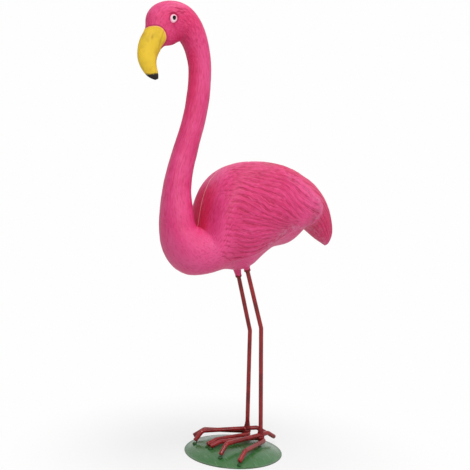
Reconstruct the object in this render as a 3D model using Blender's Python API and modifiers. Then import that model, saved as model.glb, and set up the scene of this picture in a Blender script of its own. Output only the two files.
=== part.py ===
"""A plastic flamingo lawn ornament on two steel rod legs and a domed sheet-metal dish.

The bird faces -Y with its left side at +X, and +Z is up. Sizes are in metres. The bird itself is a free
form: its shape is given in hundredths of BIRD_HEIGHT, ahead of and above the point between its two legs.
"""
import math

import bmesh
import bpy
import numpy as np
from mathutils import Vector

# The bird
BIRD_HEIGHT = 0.494
BELLY_HEIGHT = 0.348
SOCKETS_BEHIND_DISH = 0.007
BIRD_TO_RIGHT = 0.012

# The folded wings, raised from the body, with feathers as ridges along it
WING_STEP = 0.0032
FEATHER_RIDGE = 0.0014

# The leg sockets moulded under the belly
SOCKET_SPACING = 0.037
SOCKET_LENGTH = 0.040
SOCKET_END_DIAMETER = 0.0125
SOCKET_ROOT_DIAMETER = 0.022
SOCKET_BORE_DEPTH = 0.014
LEFT_SOCKET_HEIGHT = 0.352
RIGHT_SOCKET_HEIGHT = 0.340

# The steel rods of the legs and feet
ROD_DIAMETER = 0.008
ROD_BEND_RADIUS = 0.012
LEG_SPLAY = 0.004
THIGH_LEAN = math.radians(17.5)
LEFT_HOCK_HEIGHT = 0.241
RIGHT_HOCK_HEIGHT = 0.229
ANKLE_HEIGHT = 0.029
LEFT_ANKLE_BACK = 0.054
RIGHT_ANKLE_BACK = 0.048
LEFT_FOOT_TURN = math.radians(20.0)
RIGHT_FOOT_TURN = math.radians(-3.0)
MIDDLE_TOE_LENGTH = 0.098
MIDDLE_TOE_TIP = 0.015
OUTER_TOE_LENGTH = 0.084
OUTER_TOE_TIP = 0.021
OUTER_TOE_DROP = 0.013
OUTER_TOE_SPREAD = math.radians(15.0)
OUTER_TOE_SPACING = 0.021
TOE_RISE = 0.003
HIND_TOE_LENGTH = 0.022
HIND_TOE_TIP = 0.021
HIND_TOE_DROP = 0.012

# The dish
DISH_DIAMETER = 0.190
DISH_RISE = 0.0145
DISH_FLATNESS = 3
DISH_RIM_WIDTH = 0.005
SHEET_THICKNESS = 0.0012

# Pieces that touch keep this gap
GAP = 0.0003

# Mesh fineness
BIRD_RINGS = 89
FLANK_COLUMNS = 15
CROWN_COLUMNS = 5
BELLY_COLUMNS = 5
ROD_SIDES = 10
DISH_SIDES = 40

# Stations of the bird from beak to tail, in hundredths of BIRD_HEIGHT. Each is the upper edge ahead and above,
# the lower edge ahead and above, half the width, and the fullness of the section's upper half, where 2 is an ellipse.
BEAK = [
    (41.0, 70.0, 40.4, 70.6, 0.6, 2.0),
    (44.8, 71.6, 40.4, 73.0, 1.9, 2.0),
    (47.8, 75.8, 40.9, 76.6, 2.7, 2.0),
    (48.6, 80.4, 40.3, 80.2, 3.1, 2.0),
    (47.7, 85.2, 38.4, 83.4, 3.8, 2.1),
]
HEAD = [
    (46.0, 89.6, 35.6, 84.4, 4.5, 2.2),
    (45.8, 94.0, 33.6, 85.6, 5.0, 2.2),
    (42.1, 98.8, 32.2, 86.5, 5.5, 2.2),
    (35.8, 101.0, 31.2, 86.5, 5.7, 2.2),
    (29.3, 99.8, 30.2, 85.0, 5.5, 2.1),
    (24.2, 95.1, 29.3, 82.8, 5.1, 2.0),
    (21.2, 89.0, 28.6, 80.4, 4.7, 2.0),
]
NECK = [
    (19.3, 81.5, 28.0, 77.4, 4.45, 2.0),
    (18.8, 72.5, 27.8, 70.6, 4.35, 2.0),
    (19.5, 61.5, 29.0, 60.2, 4.5, 2.0),
    (21.6, 51.0, 31.6, 49.4, 4.65, 2.0),
    (23.7, 41.0, 34.2, 39.6, 4.9, 2.0),
    (24.8, 32.0, 35.8, 30.6, 5.7, 2.1),
    (24.1, 25.0, 36.2, 22.0, 7.4, 2.2),
]
# The chest fans round the fold between neck and back: its lower edge ahead and above, half width and fullness.
FOLD = (21.2, 19.0)
FOLD_RADIUS = 1.6
CHEST = [
    (35.8, 15.5, 9.0, 2.1),
    (33.8, 7.8, 11.0, 2.1),
    (29.2, 1.2, 12.9, 2.1),
    (23.2, -1.5, 14.5, 2.2),
    (17.2, -0.8, 15.8, 2.3),
]
BODY = [
    (20.0, 25.0, 12.4, 0.4, 16.7, 2.4),
    (17.5, 34.0, 8.4, 1.2, 17.2, 2.5),
    (12.4, 40.4, 4.0, 1.0, 17.4, 2.5),
    (4.4, 43.9, -0.6, 2.2, 17.3, 2.4),
    (-4.4, 45.0, -6.0, 7.2, 16.9, 2.3),
    (-12.4, 44.7, -12.0, 10.8, 16.0, 2.2),
    (-20.0, 42.8, -18.0, 12.4, 14.7, 2.1),
    (-27.0, 39.3, -23.2, 17.4, 12.7, 2.1),
]
TAIL = [
    (-32.3, 35.2, -26.8, 19.2, 10.6, 2.0),
    (-36.4, 30.4, -30.2, 17.2, 8.6, 2.0),
    (-39.3, 25.0, -33.8, 14.7, 6.4, 2.0),
    (-41.2, 19.2, -37.0, 13.1, 3.8, 2.0),
    (-40.8, 14.6, -38.8, 12.4, 1.4, 2.0),
]
BELLY_FULLNESS = 2.1

# The wing's outline from the side, in the same hundredths: its lower edge climbs towards the tail
WING_FRONT = 15.0
WING_REAR = -25.0
WING_LOW = 4.5
WING_LOW_TURN = 9.8
WING_EDGE_SLOPE = 0.55
WING_LOW_END = 19.0
TAIL_SMOOTH = 35.0
BIRD_UNIT = BIRD_HEIGHT / 100
ROD_RADIUS = ROD_DIAMETER / 2

# Each leg's name, side, socket height, hock height, place of the ankle and turn of the foot
LEGS = (
    ("left", 1, LEFT_SOCKET_HEIGHT, LEFT_HOCK_HEIGHT, LEFT_ANKLE_BACK, LEFT_FOOT_TURN),
    ("right", -1, RIGHT_SOCKET_HEIGHT, RIGHT_HOCK_HEIGHT, RIGHT_ANKLE_BACK, RIGHT_FOOT_TURN),
)


def chest_stations():
    """Stations whose upper edge rounds the fold at the foot of the neck."""
    stations = []
    for ahead, above, half_width, fullness in CHEST:
        to_edge = Vector((ahead - FOLD[0], above - FOLD[1])).normalized()
        upper = Vector(FOLD) + FOLD_RADIUS * to_edge
        stations.append((upper.x, upper.y, ahead, above, half_width, fullness))
    return stations


def spline(values, places):
    """A natural cubic spline through values at 0, 1, 2 and so on, read at the given places."""
    count = len(values)
    matrix = np.zeros((count, count))
    right = np.zeros(values.shape)
    matrix[0, 0] = 1
    matrix[-1, -1] = 1
    for row in range(1, count - 1):
        matrix[row, row - 1:row + 2] = (1, 4, 1)
        right[row] = 6 * (values[row - 1] - 2 * values[row] + values[row + 1])
    bend = np.linalg.solve(matrix, right)
    first = np.clip(np.floor(places).astype(int), 0, count - 2)
    after = (places - first)[:, None]
    before = 1 - after
    curve = before * values[first] + after * values[first + 1]
    curve += ((before**3 - before) * bend[first] + (after**3 - after) * bend[first + 1]) / 6
    return curve


def column_angles():
    """Angles round a ring, 0 on the crown and pi on the belly, closer together on the flanks."""
    crown_edge = math.radians(48)
    belly_edge = math.radians(140)
    crown = np.linspace(-crown_edge, crown_edge, CROWN_COLUMNS, endpoint=False)
    left = np.linspace(crown_edge, belly_edge, FLANK_COLUMNS, endpoint=False)
    belly = np.linspace(belly_edge, 2 * math.pi - belly_edge, BELLY_COLUMNS, endpoint=False)
    right = np.linspace(2 * math.pi - belly_edge, 2 * math.pi - crown_edge, FLANK_COLUMNS, endpoint=False)
    return np.concatenate((crown, left, belly, right))


def ramp(value, start, finish):
    """Smooth step from 0 at start to 1 at finish."""
    share = np.clip((value - start) / (finish - start), 0, 1)
    return share * share * (3 - 2 * share)


def wing_cover(ahead, above):
    """How far a point seen from the side lies on the wing, from 0 off it to 1 on it."""
    low = np.minimum(WING_LOW + WING_EDGE_SLOPE * np.maximum(0, WING_LOW_TURN - ahead), WING_LOW_END)
    over_edge = ramp(above, low - 1.6, low + 1.2)
    behind_shoulder = ramp(-ahead, -WING_FRONT, -WING_FRONT + 9)
    before_tail = ramp(ahead, WING_REAR - 1.0, WING_REAR + 1.0)
    return over_edge * behind_shoulder * before_tail


def relief(angles, ahead, above):
    """Height of the wings and their feather ridges over the smooth bird, in bird units."""
    cover = wing_cover(ahead, above)
    flank = ramp(abs(np.sin(angles)), 0.30, 0.70)
    ridge = np.where(np.arange(len(angles)) % 2 == 0, 0.5, -0.5)
    tail = ramp(-ahead, -WING_REAR, -WING_REAR + 4) * (1 - ramp(-ahead, TAIL_SMOOTH, TAIL_SMOOTH + 5))
    feathers = np.maximum(cover, tail) * flank * ridge
    return (WING_STEP * cover * flank + FEATHER_RIDGE * feathers) / BIRD_UNIT


def bird_rings():
    """Points of every ring of the bird's skin, in bird units: to the left, ahead and above."""
    stations = np.array(BEAK + HEAD + NECK + chest_stations() + BODY + TAIL)
    places = np.linspace(0, len(stations) - 1, BIRD_RINGS)
    edges = spline(stations, places)
    angles = column_angles()
    rings = []
    for upper_ahead, upper_above, lower_ahead, lower_above, half_width, fullness in edges:
        upper = np.array((upper_ahead, upper_above))
        lower = np.array((lower_ahead, lower_above))
        middle = (upper + lower) / 2
        across = (upper - lower) / 2
        power = np.where(np.cos(angles) > 0, 2 / fullness, 2 / BELLY_FULLNESS)
        cosine = np.sign(np.cos(angles)) * abs(np.cos(angles))**power
        left = half_width * np.sign(np.sin(angles)) * abs(np.sin(angles))**power
        half_height = math.hypot(*across)
        outward = np.stack((half_height * np.sin(angles), half_width * np.cos(angles)))
        outward /= np.hypot(*outward)
        ahead = middle[0] + across[0] * cosine
        above = middle[1] + across[1] * cosine
        raised = relief(angles, ahead, above)
        left += outward[0] * raised
        ahead += outward[1] * raised * across[0] / half_height
        above += outward[1] * raised * across[1] / half_height
        rings.append(np.stack((left, ahead, above), axis=1))
    return np.array(rings)


def bird_place(left, ahead, above):
    """World place of a point of the bird."""
    return Vector((
        left * BIRD_UNIT - BIRD_TO_RIGHT,
        SOCKETS_BEHIND_DISH - ahead * BIRD_UNIT,
        BELLY_HEIGHT + above * BIRD_UNIT,
    ))


def make_collection(name):
    collection = bpy.data.collections.new(name)
    bpy.context.scene.collection.children.link(collection)
    return collection


def make_material(name, colour, roughness, metallic):
    material = bpy.data.materials.new(name)
    material.use_nodes = True
    shader = material.node_tree.nodes["Principled BSDF"]
    shader.inputs["Base Color"].default_value = (*colour, 1)
    shader.inputs["Roughness"].default_value = roughness
    shader.inputs["Metallic"].default_value = metallic
    return material


def make_object(name, bm, collection, material=None):
    mesh = bpy.data.meshes.new(name)
    bm.to_mesh(mesh)
    bm.free()
    made = bpy.data.objects.new(name, mesh)
    collection.objects.link(made)
    if material:
        mesh.materials.append(material)
    mesh.shade_smooth()
    mesh.set_sharp_from_angle(angle=math.radians(40))
    return made


def bird_skin():
    """The bird's skin as a loft through its rings, closed by a point at the beak and at the tail."""
    rings = bird_rings()
    bm = bmesh.new()
    rows = []
    for ring in rings:
        rows.append([bm.verts.new(bird_place(*point)) for point in ring])
    count = len(rows[0])
    for row, following in zip(rows, rows[1:]):
        for column in range(count):
            beside = (column + 1) % count
            bm.faces.new((row[column], row[beside], following[beside], following[column]))
    for row, flip in ((rows[0], True), (rows[-1], False)):
        middle = bm.verts.new(sum((vert.co for vert in row), Vector()) / count)
        for column in range(count):
            beside = (column + 1) % count
            corners = (row[column], row[beside], middle)
            bm.faces.new(corners[::-1] if flip else corners)
    bmesh.ops.recalc_face_normals(bm, faces=bm.faces)
    bmesh.ops.triangulate(bm, faces=bm.faces)
    return bm


def socket_end(side, height):
    """Middle of the lower end of one leg socket; side is 1 on the left and -1 on the right."""
    return Vector((side * SOCKET_SPACING / 2 - BIRD_TO_RIGHT, SOCKETS_BEHIND_DISH, height))


def hock(side, socket, height):
    """Middle of the bend at the hock, behind and outside the socket."""
    drop = socket.z - height
    return socket + Vector((side * LEG_SPLAY, drop * math.tan(THIGH_LEAN), -drop))


def cone_along(start, direction, length, start_diameter, end_diameter, sides):
    """A closed cone or cylinder from a start point along a direction."""
    bm = bmesh.new()
    bmesh.ops.create_cone(
        bm, cap_ends=True, cap_tris=False, segments=sides,
        radius1=start_diameter / 2, radius2=end_diameter / 2, depth=length,
    )
    turn = Vector((0, 0, 1)).rotation_difference(direction).to_matrix()
    bmesh.ops.rotate(bm, verts=bm.verts, matrix=turn)
    bmesh.ops.translate(bm, verts=bm.verts, vec=start + direction * length / 2)
    return bm


def combine(target, tool, operation):
    """Boolean of one object with a cutter or an addition."""
    modifier = target.modifiers.new(operation.title(), "BOOLEAN")
    modifier.operation = operation
    modifier.solver = "EXACT"
    modifier.object = tool
    tool.hide_render = True
    tool.display_type = "WIRE"


def make_bird(pieces, cutters, pink):
    bird = make_object("bird_body", bird_skin(), pieces, pink)
    for name, side, socket_height, hock_height, _, _ in LEGS:
        end = socket_end(side, socket_height)
        direction = (end - hock(side, end, hock_height)).normalized()
        boss = cone_along(end, direction, SOCKET_LENGTH, SOCKET_END_DIAMETER, SOCKET_ROOT_DIAMETER, 16)
        combine(bird, make_object(f"{name}_socket_form", boss, cutters), "UNION")
        below = 0.004
        bore = cone_along(
            end - direction * below, direction, below + SOCKET_BORE_DEPTH,
            ROD_DIAMETER + 2 * GAP, ROD_DIAMETER + 2 * GAP, 16,
        )
        combine(bird, make_object(f"{name}_socket_bore", bore, cutters), "DIFFERENCE")
    return bird


def rounded_path(corners, radius, steps=3):
    """The corners of a bent rod with each inner corner rounded to an arc."""
    points = [corners[0]]
    for before, corner, after in zip(corners, corners[1:], corners[2:]):
        back = (before - corner).normalized()
        on = (after - corner).normalized()
        half_turn = (math.pi - back.angle(on)) / 2
        reach = radius * math.tan(half_turn)
        middle = corner + (back + on).normalized() * radius / math.cos(half_turn)
        start = corner + back * reach - middle
        finish = corner + on * reach - middle
        for step in range(steps + 1):
            points.append(middle + radius * start.slerp(finish, step / steps).normalized())
    points.append(corners[-1])
    return points


def make_rod(name, corners, radius, bend_radius, collection, material):
    """A round rod through the given corners, as a closed mesh with flat ends."""
    curve = bpy.data.curves.new(name, "CURVE")
    curve.dimensions = "3D"
    curve.bevel_depth = radius
    curve.bevel_resolution = (ROD_SIDES - 4) // 2
    curve.use_fill_caps = True
    points = rounded_path(corners, bend_radius)
    path = curve.splines.new("POLY")
    path.points.add(len(points) - 1)
    for place, point in zip(path.points, points):
        place.co = (*point, 1)
    drawn = bpy.data.objects.new(name + "_path", curve)
    collection.objects.link(drawn)
    graph = bpy.context.evaluated_depsgraph_get()
    mesh = bpy.data.meshes.new_from_object(drawn.evaluated_get(graph))
    bm = bmesh.new()
    bm.from_mesh(mesh)
    bmesh.ops.remove_doubles(bm, verts=bm.verts, dist=0.00001)
    bmesh.ops.recalc_face_normals(bm, faces=bm.faces)
    bpy.data.objects.remove(drawn)
    bpy.data.meshes.remove(mesh)
    return make_object(name, bm, collection, material)


def dish_height(distance):
    """Height of the dish's upper side at a distance from its middle."""
    crown_radius = DISH_DIAMETER / 2 - DISH_RIM_WIDTH
    if distance >= crown_radius:
        return SHEET_THICKNESS
    return SHEET_THICKNESS + DISH_RISE * (1 - (distance / crown_radius)**DISH_FLATNESS)


def make_leg(name, socket, bend, ankle, pieces, red):
    """A leg rod from inside its socket down to the hock and on to the top of the middle toe's rod."""
    top = socket + (socket - bend).normalized() * (SOCKET_BORE_DEPTH - GAP)
    shin = bend - ankle
    slant = math.hypot(shin.x, shin.y) / shin.z + TOE_RISE / MIDDLE_TOE_LENGTH
    foot = ankle + Vector((0, 0, ROD_RADIUS * (1 + slant) + GAP))
    return make_rod(name, [top, bend, foot], ROD_RADIUS, ROD_BEND_RADIUS, pieces, red)


def toe_tip(place):
    """Height of a toe's rod where its end rests on the dish, clear of the slope that it comes down on."""
    nearest = max(0, Vector((place.x, place.y)).length - ROD_DIAMETER)
    return dish_height(nearest) + ROD_RADIUS + GAP


def make_foot(side, ankle, turn, pieces, red):
    """One foot: a rod for the middle and hind toes over a U-shaped rod for the two outer toes."""
    forward = Vector((math.sin(turn), -math.cos(turn), 0))
    left = Vector((math.cos(turn), math.sin(turn), 0))
    rise = Vector((0, 0, TOE_RISE))
    middle_bend = ankle + forward * MIDDLE_TOE_LENGTH + rise
    middle_tip = middle_bend + forward * MIDDLE_TOE_TIP
    middle_tip.z = toe_tip(middle_tip)
    hind_bend = ankle - forward * HIND_TOE_LENGTH
    hind_tip = hind_bend - forward * HIND_TOE_TIP - Vector((0, 0, HIND_TOE_DROP))
    middle = make_rod(
        f"{side}_middle_toe_rod", [hind_tip, hind_bend, middle_bend, middle_tip],
        ROD_RADIUS, ROD_BEND_RADIUS, pieces, red,
    )
    under = ankle - Vector((0, 0, ROD_DIAMETER + GAP))
    elbows = []
    for way in (-1, 1):
        along = forward * math.cos(OUTER_TOE_SPREAD) + way * left * math.sin(OUTER_TOE_SPREAD)
        elbow = under + way * left * OUTER_TOE_SPACING / 2
        bend = elbow + along * OUTER_TOE_LENGTH + rise
        tip = bend + along * OUTER_TOE_TIP
        tip.z = max(bend.z - OUTER_TOE_DROP, toe_tip(tip))
        elbows.append((elbow, bend, tip))
    corners = [*elbows[0][::-1], *elbows[1]]
    outer = make_rod(f"{side}_outer_toes_rod", corners, ROD_RADIUS, OUTER_TOE_SPACING / 3, pieces, red)
    return middle, outer


def make_dish(pieces, green):
    """The dish: a shallow dome of sheet with a flat rim, turned about its own middle."""
    crown_radius = DISH_DIAMETER / 2 - DISH_RIM_WIDTH
    reaches = np.linspace(0, crown_radius, 7)
    upper = [(reach, dish_height(reach)) for reach in reaches]
    upper.append((DISH_DIAMETER / 2, SHEET_THICKNESS))
    lower = [(radius, height - SHEET_THICKNESS) for radius, height in upper]
    profile = upper + lower[::-1]
    bm = bmesh.new()
    verts = [bm.verts.new((radius, 0, height)) for radius, height in profile]
    for first, second in zip(verts, verts[1:]):
        bm.edges.new((first, second))
    dish = make_object("base_dish", bm, pieces, green)
    turned = dish.modifiers.new("Turned", "SCREW")
    turned.steps = DISH_SIDES
    turned.render_steps = DISH_SIDES
    turned.use_merge_vertices = True
    turned.merge_threshold = 0.00001
    turned.use_smooth_shade = True
    return dish


def stand_on_middle(objects):
    """Hang every piece on one empty, set so that the origin is under the middle of the whole."""
    bpy.context.view_layer.update()
    graph = bpy.context.evaluated_depsgraph_get()
    corners = []
    for piece in objects:
        seen = piece.evaluated_get(graph)
        corners += [seen.matrix_world @ Vector(corner) for corner in seen.bound_box]
    low = [min(corner[axis] for corner in corners) for axis in range(3)]
    high = [max(corner[axis] for corner in corners) for axis in range(3)]
    stand = bpy.data.objects.new("flamingo_ornament", None)
    bpy.context.scene.collection.objects.link(stand)
    for piece in bpy.data.objects:
        if piece is not stand:
            piece.parent = stand
    stand.location = (-(low[0] + high[0]) / 2, -(low[1] + high[1]) / 2, -low[2])


def main():
    for old in list(bpy.data.objects):
        bpy.data.objects.remove(old)
    pieces = make_collection("flamingo_ornament")
    cutters = make_collection("flamingo_ornament_cutters")
    pink = make_material("pink_plastic", (0.72, 0.075, 0.235), 0.4, 0)
    green = make_material("green_painted_sheet", (0.09, 0.22, 0.11), 0.4, 0)
    objects = [make_bird(pieces, cutters, pink)]
    for name, side, socket_height, hock_height, back, turn in LEGS:
        red = make_material(f"{name}_dark_red_painted_steel", (0.28, 0.02, 0.03), 0.35, 0)
        socket = socket_end(side, socket_height)
        bend = hock(side, socket, hock_height)
        ankle = Vector((bend.x, back, ANKLE_HEIGHT))
        objects.append(make_leg(f"{name}_leg_rod", socket, bend, ankle, pieces, red))
        objects += make_foot(name, ankle, turn, pieces, red)
    objects.append(make_dish(pieces, green))
    stand_on_middle(objects)


main()
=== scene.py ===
"""Looks of a plastic flamingo lawn ornament on steel rod legs and a domed sheet-metal dish.

The bird faces -Y, its left side is at +X and +Z is up. Sizes are in metres. The bird's own shape is in bird
units, hundredths of its height, ahead of and above the point between its two legs.
"""
import math

import bmesh
import bpy
import numpy as np
from mathutils import Matrix, Vector


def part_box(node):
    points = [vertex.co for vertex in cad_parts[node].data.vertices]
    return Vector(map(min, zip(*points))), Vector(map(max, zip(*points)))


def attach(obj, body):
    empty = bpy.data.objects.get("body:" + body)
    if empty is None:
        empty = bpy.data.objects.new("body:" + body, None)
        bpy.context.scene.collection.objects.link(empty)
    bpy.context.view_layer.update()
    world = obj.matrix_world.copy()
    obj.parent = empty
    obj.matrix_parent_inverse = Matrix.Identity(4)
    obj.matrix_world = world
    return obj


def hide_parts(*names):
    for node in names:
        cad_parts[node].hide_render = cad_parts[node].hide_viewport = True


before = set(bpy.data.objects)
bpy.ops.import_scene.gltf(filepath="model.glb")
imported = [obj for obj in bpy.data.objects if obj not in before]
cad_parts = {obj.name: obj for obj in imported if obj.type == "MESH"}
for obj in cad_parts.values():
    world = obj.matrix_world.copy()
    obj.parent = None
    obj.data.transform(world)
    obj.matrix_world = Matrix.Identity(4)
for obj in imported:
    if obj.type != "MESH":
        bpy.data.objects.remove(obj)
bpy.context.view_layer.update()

# Sizes that the solids have too
BIRD_UNIT = 0.494 / 100
BELLY_HEIGHT = 0.348
BIRD_ASIDE = -0.012
BIRD_BACK = 0.007
WING_STEP = 0.0032
SOCKET_SPACING = 0.037
SOCKET_LENGTH = 0.040
ROD_RADIUS = 0.004
ROD_BEND_RADIUS = 0.012
ROD_REACH = 0.0137
LEG_SPLAY = 0.004
THIGH_LEAN = math.radians(17.5)
ANKLE_HEIGHT = 0.029
MIDDLE_TOE_LENGTH = 0.098
MIDDLE_TOE_TIP = 0.015
OUTER_TOE_LENGTH = 0.084
OUTER_TOE_TIP = 0.021
OUTER_TOE_DROP = 0.013
OUTER_TOE_SPREAD = math.radians(15.0)
OUTER_TOE_SPACING = 0.021
TOE_RISE = 0.003
HIND_TOE_LENGTH = 0.022
HIND_TOE_TIP = 0.021
HIND_TOE_DROP = 0.012
DISH_RADIUS = 0.095
DISH_RISE = 0.0145
DISH_FLATNESS = 3
DISH_RIM_WIDTH = 0.005
SHEET_THICKNESS = 0.0012
GAP = 0.0003

# Sizes that only the looks have
UP = Vector((0, 0, 1))
PAINT_THICKNESS = 0.0003
CHAMFER = 0.0007
ROD_UNEVENNESS = 0.012
SMEAR_HEIGHT = 0.0065
FLARE_SWELL = 0.0006
ANKLE_BEAD = (0.0072, 0.0080, 0.0056)
TACK_RADIUS = 0.0044
TACK_HEIGHT = 0.0026
TACK_LIFT = 0.0012
TACK_MARGIN = 0.004

# How deep or high the bird's skin is carved
SKIN_SINK = 0.0009
FEATHER_STEP = 0.0013
FEATHER_LINE = 0.0008
BARB_HEIGHT = 0.00022
FACE_STROKE = 0.0007
TAIL_RIDGE = 0.0004
NECK_STROKE = 0.00022
DIMPLE_DEPTH = 0.00035
UNEVENNESS = 0.0005
SEAM_HEIGHT = 0.00035
BEAK_GROOVE = 0.0006
BEAK_LIP = 0.00035
MOUTH_DEPTH = 0.0007
NOSTRIL_DEPTH = 0.0006
EYE_BALL = 0.0011
LID_HEIGHT = 0.0008

dish_low, dish_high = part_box("base_dish")
DISH_MIDDLE = Vector(((dish_low[0] + dish_high[0]) / 2, (dish_low[1] + dish_high[1]) / 2, 0))
BIRD_PLACE = DISH_MIDDLE + Vector((BIRD_ASIDE, BIRD_BACK, BELLY_HEIGHT))

# Name, side, heights of socket and hock, how far back the ankle is, turn of the foot, droop of the socket's mouth
LEGS = (
    ("left", 1, 0.352, 0.241, 0.054, math.radians(20.0), 0.0005),
    ("right", -1, 0.340, 0.229, 0.048, math.radians(-3.0), 0.0024),
)

# Turned pieces: radius and distance along
SOCKET_PROFILE = [
    (0, 0.0035), (0.0041, 0.0035), (0.0042, 0.0004), (0.0052, 0), (0.0061, 0.0006), (0.0064, 0.0022),
    (0.0064, 0.0042), (0.0062, 0.0058), (0.0068, 0.009), (0.0076, 0.014), (0.0085, 0.02), (0.0098, 0.026),
    (0.0106, 0.031), (0.0108, SOCKET_LENGTH), (0, SOCKET_LENGTH),
]
FLARE_PROFILE = [
    (0, -0.0015), (0.0068, -0.0015), (0.0066, 0.001), (0.0060, 0.003), (0.0053, 0.006), (0.0047, 0.0095),
    (0.0042, 0.013), (0.0038, 0.0155), (0, 0.0155),
]

# Stations from beak to tail: upper edge ahead and above, lower edge ahead and above, half width, fullness
BEAK = [
    (41.2, 70.5, 39.8, 71.3, 0.9, 2.0), (44.7, 71.8, 40.0, 73.2, 1.9, 2.0),
    (47.8, 75.8, 40.9, 76.6, 2.7, 2.0), (48.6, 80.4, 40.3, 80.2, 3.1, 2.0),
    (47.7, 85.2, 38.4, 83.4, 3.8, 2.1),
]
HEAD = [
    (46.0, 89.6, 35.6, 84.4, 4.5, 2.2), (45.8, 94.0, 33.6, 85.6, 5.0, 2.2),
    (42.1, 98.8, 32.2, 86.5, 5.5, 2.2), (35.8, 101.0, 31.2, 86.5, 5.7, 2.2),
    (29.3, 99.8, 30.2, 85.0, 5.5, 2.1), (24.2, 95.1, 29.3, 82.8, 5.1, 2.0),
    (21.2, 89.0, 28.6, 80.4, 4.7, 2.0),
]
NECK = [
    (19.3, 81.5, 28.0, 77.4, 4.45, 2.0), (18.8, 72.5, 27.8, 70.6, 4.35, 2.0),
    (19.5, 61.5, 29.0, 60.2, 4.5, 2.0), (21.6, 51.0, 31.6, 49.4, 4.65, 2.0),
    (23.7, 41.0, 34.2, 39.6, 4.9, 2.0), (24.8, 32.0, 35.8, 30.6, 5.7, 2.1),
    (24.1, 25.0, 36.2, 22.0, 7.4, 2.2),
]
# Round the fold the upper edge follows from it, so the chest gives its lower edge, half width and fullness alone
FOLD = (21.2, 19.0)
FOLD_RADIUS = 1.6
CHEST = [
    (35.8, 15.5, 9.0, 2.1), (33.8, 7.8, 11.0, 2.1),
    (29.2, 1.2, 12.9, 2.1), (23.2, -1.5, 14.5, 2.2),
    (17.2, -0.8, 15.8, 2.3),
]
BODY = [
    (20.0, 25.0, 12.4, 0.4, 16.7, 2.4), (17.5, 34.0, 8.4, 1.2, 17.2, 2.5),
    (12.4, 40.4, 4.0, 1.0, 17.4, 2.5), (4.4, 43.9, -0.6, 2.2, 17.3, 2.4),
    (-4.4, 45.0, -6.0, 7.2, 16.9, 2.3), (-12.4, 44.7, -12.0, 10.8, 16.0, 2.2),
    (-20.0, 42.8, -18.0, 12.4, 14.7, 2.1), (-27.0, 39.3, -23.2, 17.4, 12.7, 2.1),
]
TAIL = [
    (-32.3, 35.2, -26.8, 19.2, 10.6, 2.0), (-36.4, 30.4, -30.3, 17.9, 8.4, 2.0),
    (-39.3, 25.0, -33.9, 15.3, 6.2, 2.0), (-41.2, 19.2, -37.1, 13.4, 3.7, 2.0),
    (-40.8, 14.6, -38.8, 12.4, 1.4, 2.0),
]
BELLY_FULLNESS = 2.1
# How close together the rings lie between stations, and how many columns each part of a ring has
RING_SHARES = [8] * 5 + [15] * 5 + [9] * 9 + [13] * 5 + [16] * 8 + [10] * 4
RINGS = 398
CROWN_COLUMNS = 38
FLANK_COLUMNS = 87
BELLY_COLUMNS = 34

# Ranges of stations where parts of the bird begin or end, and how softly the wing's edges set in
HEAD_END = (10.5, 12.0)
BODY_START = (18.0, 21.0)
TRUNK_START = (24.0, 26.0)
WING_LOW_FADE = (-1.1, 0.7)
WING_FRONT_FADE = (-16.5, -9.0)
WING_REAR_FADE = (-3.5, 2.5)
BACK_EDGE_FADE = (0.1, 1.6)

# Lines on the bird seen from the side, ahead and above
WING_LOW = [(24.0, 5.0), (14.4, 4.5), (8.7, 5.4), (2.6, 7.6), (-4.1, 11.0), (-9.3, 14.3), (-14.6, 18.0),
            (-18.0, 19.4), (-26.0, 20.4)]
WING_REAR = [(-12.0, 46.0), (-18.0, 40.0), (-24.5, 33.3), (-28.4, 27.7), (-27.0, 22.5), (-24.0, 17.0)]
# How high the long feathers lie at some places ahead, from the wing's lower edge at 0 to over its top at 1.05
FEATHERS_AHEAD = [18, 13, 6, 0, -6, -11, -16, -20, -24]
FEATHERS = [
    (0.00, [5.0, 4.6, 6.2, 8.8, 12.1, 15.4, 18.6, 19.7, 20.2]),
    (0.09, [8.2, 7.6, 7.4, 9.9, 13.2, 16.2, 18.9, 19.9, 20.3]),
    (0.16, [10.8, 10.4, 9.6, 11.2, 14.2, 16.8, 19.1, 20.1, 20.5]),
    (0.24, [13.4, 12.9, 12.4, 13.6, 15.5, 17.5, 19.3, 20.3, 20.7]),
    (0.35, [16.8, 16.4, 15.6, 16.2, 17.0, 18.3, 19.7, 20.5, 20.9]),
    (0.45, [20.6, 20.3, 19.5, 19.2, 18.9, 19.2, 20.1, 20.8, 21.2]),
    (0.56, [25.6, 25.0, 22.6, 21.4, 20.4, 20.3, 20.6, 21.1, 21.6]),
    (0.66, [30.5, 29.4, 26.6, 24.4, 22.3, 21.5, 21.3, 21.6, 22.1]),
    (0.78, [34.6, 33.8, 31.9, 30.3, 27.8, 24.8, 22.7, 22.4, 22.8]),
    (0.88, [37.0, 36.6, 35.8, 34.5, 33.1, 30.4, 26.4, 24.4, 24.2]),
    (1.05, [39.9, 39.8, 39.5, 39.1, 38.6, 37.6, 35.1, 32.8, 30.2]),
]
FEATHER_ROWS = 16
# The line of the pale crests, partly wear and partly painted highlight
WEAR_AND_SHEEN_EDGE = [(1.0, 7.6), (-5.1, 13.0), (-7.8, 15.8), (-12.5, 18.4), (-17.3, 19.6), (-23.8, 19.2), (-27.3, 24.0),
             (-28.3, 27.9), (-24.3, 31.4), (-17.7, 35.3), (-11.0, 38.3)]
BACK_EDGE = [(3.0, 44.5), (-4.0, 42.0), (-11.0, 39.4), (-17.7, 36.3), (-24.3, 32.2), (-28.6, 27.9), (-27.4, 23.0),
             (-24.0, 17.0)]
BEAK_LINE = [(52.0, 88.2), (47.6, 88.6), (45.6, 89.0), (43.5, 89.2), (41.9, 89.0), (40.3, 88.1), (39.2, 86.5),
             (38.8, 84.7), (39.3, 83.1), (39.6, 82.3), (38.2, 81.4), (34.0, 80.4)]
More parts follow.
